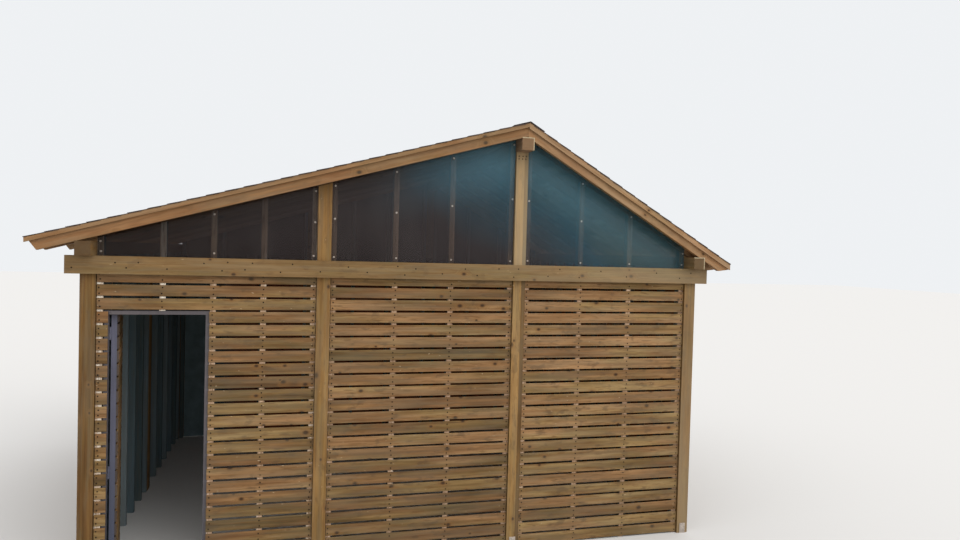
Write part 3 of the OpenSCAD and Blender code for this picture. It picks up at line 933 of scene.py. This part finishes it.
SCREW_RADIUS = 0.0085
SCREW_LOW = 0.034
SCREW_EDGE_LEFT = 0.03
SCREW_EDGE_RIGHT = 0.012
SCREW_DRIFT = 0.006
SCREW_LEAST = 0.05
SCREW_FAR = 0.5
SCREW_MIDDLE = 0.53
WASHER_PROUD = 0.002
HEX_SHARE = 0.55
HEX_RISE = 0.0018
HEX_PROUD = 0.0035
TIE_ENDS = (0.05, 0.03)
TIE_SHARE = 0.3
TIE_DRIFT = 0.08
TIE_STEPS = (0.03, 0.32)
RIDGE_ROWS = (0.036, 0.06)
RIDGE_COLUMNS = (-0.032, 0.0, 0.032)
RIDGE_DRIFT = 0.003


def zinc():
    finish = Finish("zinc_steel")
    place = finish.place()
    spangle = finish.cells(place, 90.0)
    patch = finish.noise(place, 12.0, 3.0)
    colour = finish.ramp(spangle * 0.5 + patch * 0.5,
                         [(0.2, rgb(148, 138, 128)), (0.8, rgb(190, 177, 164))])
    return finish.set(colour=colour, rough=0.45 + patch * 0.2, metal=0.4)


ZINC = zinc()


def rafter_depth():
    """Depth of the rafters, square to the left slope."""
    lowest = min((point - LEFT_SLOPE.head).dot(LEFT_SLOPE.out) for point in corners("commons_left"))
    return -lowest - LEFT_SLOPE.thick


def depth_on(wall, low, high):
    """How far behind the face of a gable's posts the outer face of a box lies."""
    return low.y - wall.corner.y if wall is FRONT_WALL else wall.corner.y - high.y


def sheet_screws(held):
    """Washered screws that hold the gable sheets to the studs."""
    pile = Pile("sheet_screws")
    rafter = rafter_depth()
    for wall, side in GABLES:
        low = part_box(f"{side}_tie_beam")[1].z + SCREW_LOW
        depth = depth_on(wall, *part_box(f"{side}_sheets"))
        for run in held[side]:
            x = wall.corner.x + run
            slope, edge = LEFT_SLOPE, SCREW_EDGE_LEFT
            if x >= RIGHT_SLOPE.head.x:
                slope, edge = RIGHT_SLOPE, SCREW_EDGE_RIGHT
            high = slope.under(x, -slope.thick - rafter) - edge
            rises = [low, high] if high - low >= SCREW_LEAST else [low]
            if high - low > SCREW_FAR:
                rises.append(low + (high - low) * SCREW_MIDDLE)
            for rise in rises:
                place = wall.at(run + CHANCE.uniform(-SCREW_DRIFT, SCREW_DRIFT),
                                rise + CHANCE.uniform(-SCREW_DRIFT, SCREW_DRIFT), depth)
                pile.head(place, wall.out, SCREW_RADIUS, WASHER_PROUD, sides=12, crown=0.85)
                pile.head(place + wall.out * HEX_RISE, wall.out, SCREW_RADIUS * HEX_SHARE,
                          HEX_PROUD, sides=6)
    pile.piece([ZINC])


def frame_nails():
    """Nail heads along the tie beams and near the tops of the ridge posts."""
    pile = Pile("frame_nails")
    ridge_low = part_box("ridge_beam")[0].z
    posts = levels(point.x for point in corners("front_posts"))
    for wall, side in GABLES:
        low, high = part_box(f"{side}_tie_beam")
        depth = depth_on(wall, low, high)
        run = low.x - wall.corner.x + TIE_ENDS[0]
        share = TIE_SHARE
        while run < high.x - wall.corner.x - TIE_ENDS[1]:
            rise = low.z + (high.z - low.z) * (share + CHANCE.uniform(-TIE_DRIFT, TIE_DRIFT))
            pile.head(wall.at(run, rise, depth), wall.out, NAIL_RADIUS, NAIL_PROUD)
            share = 1.0 - share
            run += CHANCE.uniform(*TIE_STEPS)
        ridge = (posts[-1] + posts[-2]) / 2 - wall.corner.x
        for row in RIDGE_ROWS:
            for column in RIDGE_COLUMNS:
                run = ridge + column + CHANCE.uniform(-RIDGE_DRIFT, RIDGE_DRIFT)
                pile.head(wall.at(run, ridge_low - row, 0.0), wall.out, NAIL_RADIUS, NAIL_PROUD)
    pile.piece([NAIL])


# Finishes of the frame's own nodes

# partly the sheets' tint and partly painted reflection: brownish at the left, bluer to the right and
# higher up
SHEET_TINT_AND_REFLECTION = [(0.0, rgb(32, 20, 17)), (0.44, rgb(53, 46, 46)),
               (0.68, rgb(41, 75, 88)), (0.92, rgb(48, 70, 65))]
SHEET_SKY_REFLECTION = rgb(90, 141, 160)
SHEET_DUST = rgb(128, 122, 116)
REFLECTION_RISE = 0.34
REFLECTION_BELOW_ROOF = (0.15, 0.68)
REFLECTION_ALONG = (1.2, -0.6)
REFLECTION_END = (1.3, 2.4)
SHEET_CLEAR = (255, 255, 255)
SHEET_BACKED = (226, 208, 204)
OUTER_FACE = 0.5
# painted shade: these tones make the inside dark, bluish by the doorway, and the slat gaps dark
# brown
LINING_SHADE_TURN = (-1.7, -2.1)
LINING_SHADE_TONES = (((90, 108, 112), (112, 132, 137)), ((128, 56, 16), (154, 70, 22)),
                ((56, 37, 26), (72, 49, 36)))
# painted shade: each tube darkens towards the floor; the leaf's tubes are bluer with painted sky
# reflection
JAMB_TONES = [(70, 64, 66), (79, 73, 75), (92, 84, 85)]
JAMB_LOW_SHADE = (70, 68, 72)
LEAF_TONES_SKY_REFLECTION = [(62, 62, 76), (70, 70, 85), (82, 82, 98)]
LEAF_LOW_SHADE = (52, 57, 73)
STEEL_SHADE_HEIGHTS = (0.3, 1.5)
RUST_HEIGHT = 0.16
RUST_SPECK = rgb(70, 60, 58)
RUST_FOOT = rgb(92, 70, 54)
RIM_LIGHT_WIDTH = 0.007
END_FACE = 0.004
POST_MARGIN = 0.05
POST_LOW = (0.4, 1.6)
TRIM_RISE = 0.05
ALONE = 4.0
TIMBER_ARRIS = 0.003
RAFTER_ARRIS = 0.002
TRIM_ARRIS = 0.0015
TUBE_ARRIS = 0.0012
PLATE_ARRIS = 0.0008


def painted_steel(name, tones, low):
    """Painted tube with runs, rust specks and a rusty foot. low is the tone it darkens to towards
    the floor, which is painted shade.
    """
    finish = Finish(name)
    place = finish.place()
    patch = finish.noise(place, 3.0, 4.0, 0.6)
    x, y, z = finish.split(place)
    run = finish.noise(finish.join(x * 60.0, y * 60.0, z * 3.0), 1.0, 3.0)
    speck = finish.noise(place, 160.0, 2.0)
    colour = finish.ramp(patch * 0.6 + run * 0.4,
                         [(stop, rgb(*tone)) for stop, tone in zip((0.3, 0.5, 0.72), tones)])
    colour = finish.mix(z.fall(*STEEL_SHADE_HEIGHTS) * 0.8, colour, rgb(*low))
    colour = finish.mix((speck > 0.68) * 0.5, colour, RUST_SPECK)
    colour = finish.mix(z.fall(0.0, RUST_HEIGHT) * run * 0.9, colour, RUST_FOOT)
    return finish.set(colour=colour, rough=0.42 + patch * 0.2,
                      normal=finish.bump(speck + patch, 0.0004, 0.5))


def smoked_sheet_painted_reflection(name, alpha, shade):
    """Smoked plastic, brownish at the left and bluish at the right and higher up, partly its own
    tint and partly painted reflection, with a painted sky reflection by the ridge that also lightens
    the shade under the eaves."""
    finish = Finish(name)
    place = finish.place()
    x, y, z = finish.split(place)
    low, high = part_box("front_sheets")
    rise = (z - (low.z + high.z) / 2) * REFLECTION_RISE
    patch = finish.noise(place, 0.8, 2.0) - 0.5
    dust = finish.noise(finish.join(x * 3.0, y * 3.0, z * 0.8), 1.0, 4.0, 0.6)
    # painted sky reflection just below the roof edge, strongest by the ridge; it also lightens the
    # shade under the eaves
    below_roof = LEFT_SLOPE.under(x, 0).lower(RIGHT_SLOPE.under(x, 0)) - z
    painted_reflection = below_roof.fall(*REFLECTION_BELOW_ROOF) * x.fall(*REFLECTION_ALONG) * (x.fall(*REFLECTION_END) * 0.5 + 0.5)
    colour = finish.ramp((x - low.x) / (high.x - low.x) + patch * 0.4 + rise, SHEET_TINT_AND_REFLECTION)
    colour = finish.mix(painted_reflection * 0.7, colour, SHEET_SKY_REFLECTION)
    colour = finish.mix(1.0, colour, rgb(*shade), "MULTIPLY")
    colour = finish.mix(dust.fall(0.4, 0.62) * -0.05 + 0.05, colour, SHEET_DUST)
    return finish.set(colour=colour, rough=0.16 + dust * 0.14, alpha=alpha, level=0.28,
                      normal=finish.bump(finish.noise(place, 1.1, 1.0), 0.003, 0.1))


def lining_painted_shade():
    """Dark sheet whose tones are painted shade: bluish inside by the doorway, brown along the rest
    of the inside, and darkest on its outer face behind the slats."""
    finish = Finish("lining")
    place = finish.place()
    x, y = finish.split(place)[:2]
    out_x, out_y = finish.split(finish.facing())[:2]
    outer = (x * out_x + y * out_y) > OUTER_FACE
    crease = finish.noise(place, 7.0, 4.0, 0.6)
    blue, brown, dark = [finish.ramp(crease, [(0.3, rgb(*deep)), (0.7, rgb(*pale))])
                         for deep, pale in LINING_SHADE_TONES]
    colour = finish.mix(outer, finish.mix(x.fall(*LINING_SHADE_TURN), blue, brown), dark)
    return finish.set(colour=colour, rough=0.6, normal=finish.bump(crease, 0.006, 0.6))


def dress(finish, *nodes, bevel=0.0):
    for node in nodes:
        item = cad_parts[node]
        for slot in item.material_slots:
            slot.material = finish
        if bevel:
            rounding = item.modifiers.new("arris", "BEVEL")
            rounding.width = bevel
            rounding.segments = 2
            rounding.limit_method = "ANGLE"


def painted_rim_light(low, high):
    """A painted highlight along the upper and right arris of a beam's front end, for timbers."""
    def paler(x, y, z):
        edges = (z > high.z - RIM_LIGHT_WIDTH) + (x > high.x - RIM_LIGHT_WIDTH)
        return (y < low.y + END_FACE) * edges * 0.7
    return paler


def paler_posts(width, tie_top, ridge_low, ridge_high):
    """The ridge posts over the tie beams made paler, and the posts of the right wall made paler with
    painted light that grows towards their feet, for timbers.
    """
    def paler(x, y, z):
        ridge_post = (z > tie_top) * (x > ridge_low - POST_MARGIN) * (x < ridge_high + POST_MARGIN)
        return ridge_post * 0.26 + (x > POSTS_HIGH.x - width) * (z.fall(*POST_LOW) * 0.08 + 0.09)
    return paler


def frame_wood():
    """Finishes of posts, beams, rafters and trims."""
    post_low, post_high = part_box("side_posts")
    width = post_high.y - post_low.y
    corner = (POSTS_LOW.x + width / 2, POSTS_LOW.y + width / 2)
    tie_low, tie_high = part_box("front_tie_beam")
    ridge_low, ridge_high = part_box("ridge_beam")
    dress(timbers("post_wood", "z", POST_STOCK, corner, 1.0, start=0.05, spread=0.26,
                  paler=paler_posts(width, tie_high.z, ridge_low.x, ridge_high.x)),
          "corner_posts", "front_posts", "back_posts", "side_posts", bevel=TIMBER_ARRIS)
    # painted light: the tie beams grow paler towards their right ends
    dress(timbers("tie_wood", "x", BEAM_STOCK, (0.0, (tie_low.y + tie_high.y) / 2), ALONE,
                  middle=(tie_low.z + tie_high.z) / 2,
                  paler=lambda x, y, z: x.fall(tie_high.x, 0.0) * 0.12),
          "front_tie_beam", "back_tie_beam", bevel=TIMBER_ARRIS)
    for node, stock in (("left_plate", LEFT_PLATE_SHADED_STOCK), ("right_plate", BEAM_STOCK),
                        ("ridge_beam", RIDGE_STOCK_PAINTED_LIGHT)):
        low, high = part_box(node)
        middle = (low + high) / 2
        paler = None if node == "left_plate" else painted_rim_light(low, high)
        dress(timbers(f"{node}_wood", "y", stock, (middle.x, 0.0), middle=middle.z, paler=paler),
              node, bevel=TIMBER_ARRIS)
    rafters = levels(point.y for point in corners("commons_left"))
    first = (rafters[0] + rafters[1]) / 2
    pitch = (rafters[2] + rafters[3]) / 2 - first
    for slope, side, start in ((LEFT_SLOPE, "left", 0.15), (RIGHT_SLOPE, "right", 0.6)):
        middle = slope.at(0, 0, -slope.thick - rafter_depth() / 2)
        turned = -middle.x * math.sin(slope.turn) + middle.z * math.cos(slope.turn)
        dress(timbers(f"{side}_rafter_wood", "x", RAFTER_STOCK, (0.0, first), pitch, slope.turn,
                      turned, start), f"barge_{side}", f"commons_{side}", bevel=RAFTER_ARRIS)
        dress(timbers(f"{side}_trim_wood", "x", TRIM_STOCK, (0.0, slope.near), ALONE, slope.turn,
                      turned + TRIM_RISE, start), f"trim_{side}", bevel=TRIM_ARRIS)


def frame_sheets_and_steel():
    """Finishes of gable sheets, lining, tubes, hinges and foot plates."""
    dress(smoked_sheet_painted_reflection("smoked_sheet_painted_reflection", 0.5, SHEET_CLEAR), "front_sheets")
    dress(smoked_sheet_painted_reflection("backed_sheet_painted_reflection", 1.0, SHEET_BACKED), "back_sheets")
    dress(lining_painted_shade(), "lining")
    dress(painted_steel("jamb_steel", JAMB_TONES, JAMB_LOW_SHADE),
          "door_jambs", "door_head", bevel=TUBE_ARRIS)
    dress(painted_steel("leaf_steel_painted_reflection", LEAF_TONES_SKY_REFLECTION, LEAF_LOW_SHADE),
          "jamb_hinges", "leaf_stiles", "leaf_rails", "leaf_hinges", bevel=TUBE_ARRIS)
    dress(ZINC, "foot_plates", bevel=PLATE_ARRIS)


# Floor and light

FLOOR_REACH = 60
FLOOR_TONE = rgb(172, 168, 160)
FLOOR_SEEN = rgb(206, 204, 200)
SKY_LEVEL = 1.17
SKY_TONE = (0.98 * SKY_LEVEL, 0.99 * SKY_LEVEL, 1.02 * SKY_LEVEL, 1)
SKY_SEEN = (0.86, 0.88, 0.9, 1)
LAMPS = {"key": {"way": (0.5, -0.75, 1.0), "level": 0.9, "angle": 40},
         "fill": {"way": (0.8, -0.6, 0.16), "level": 1.35, "angle": 50}}


def seen(nodes):
    """1 for rays from the view, from gloss and through glass, 0 for light that falls on the shed."""
    view, gloss, glass = [nodes.node("ShaderNodeLightPath", out=name)
                          for name in ("Is Camera Ray", "Is Glossy Ray", "Is Transmission Ray")]
    return view.higher(gloss).higher(glass)


def pale_floor():
    mesh = bpy.data.meshes.new("floor")
    near, far = -FLOOR_REACH, FLOOR_REACH
    mesh.from_pydata([(near, near, 0), (far, near, 0), (far, far, 0), (near, far, 0)], [],
                     [(0, 1, 2, 3)])
    finish = Finish("pale_floor")
    mesh.materials.append(finish.set(colour=finish.mix(seen(finish), FLOOR_TONE, FLOOR_SEEN),
                                     rough=0.9, level=0.0))
    floor = show("floor", mesh)


def light():
    world = bpy.data.worlds.new("studio")
    world.use_nodes = True
    sky = Nodes(world.node_tree)
    background = world.node_tree.nodes["Background"]
    sky.feed(background.inputs["Color"], sky.mix(seen(sky), SKY_TONE, SKY_SEEN))
    sky.feed(background.inputs["Strength"], 1.0)
    bpy.context.scene.world = world
    for name, lamp in LAMPS.items():
        sun = bpy.data.lights.new(name, "SUN")
        sun.energy = lamp["level"]
        sun.angle = math.radians(lamp["angle"])
        show(name, sun).rotation_euler = Vector(lamp["way"]).to_track_quat("Z", "Y").to_euler()
    bpy.context.scene.view_settings.view_transform = "Standard"


camera()
held = walls()
leaf()
deck(LEFT_SLOPE, "deck_left", "left_roof_boards")
deck(RIGHT_SLOPE, "deck_right", "right_roof_boards")
shingles(LEFT_SLOPE, "shingles_left", "left_shingles")
shingles(RIGHT_SLOPE, "shingles_right", "right_shingles")
capping()
sheet_screws(held)
frame_nails()
frame_wood()
frame_sheets_and_steel()
pale_floor()
light()
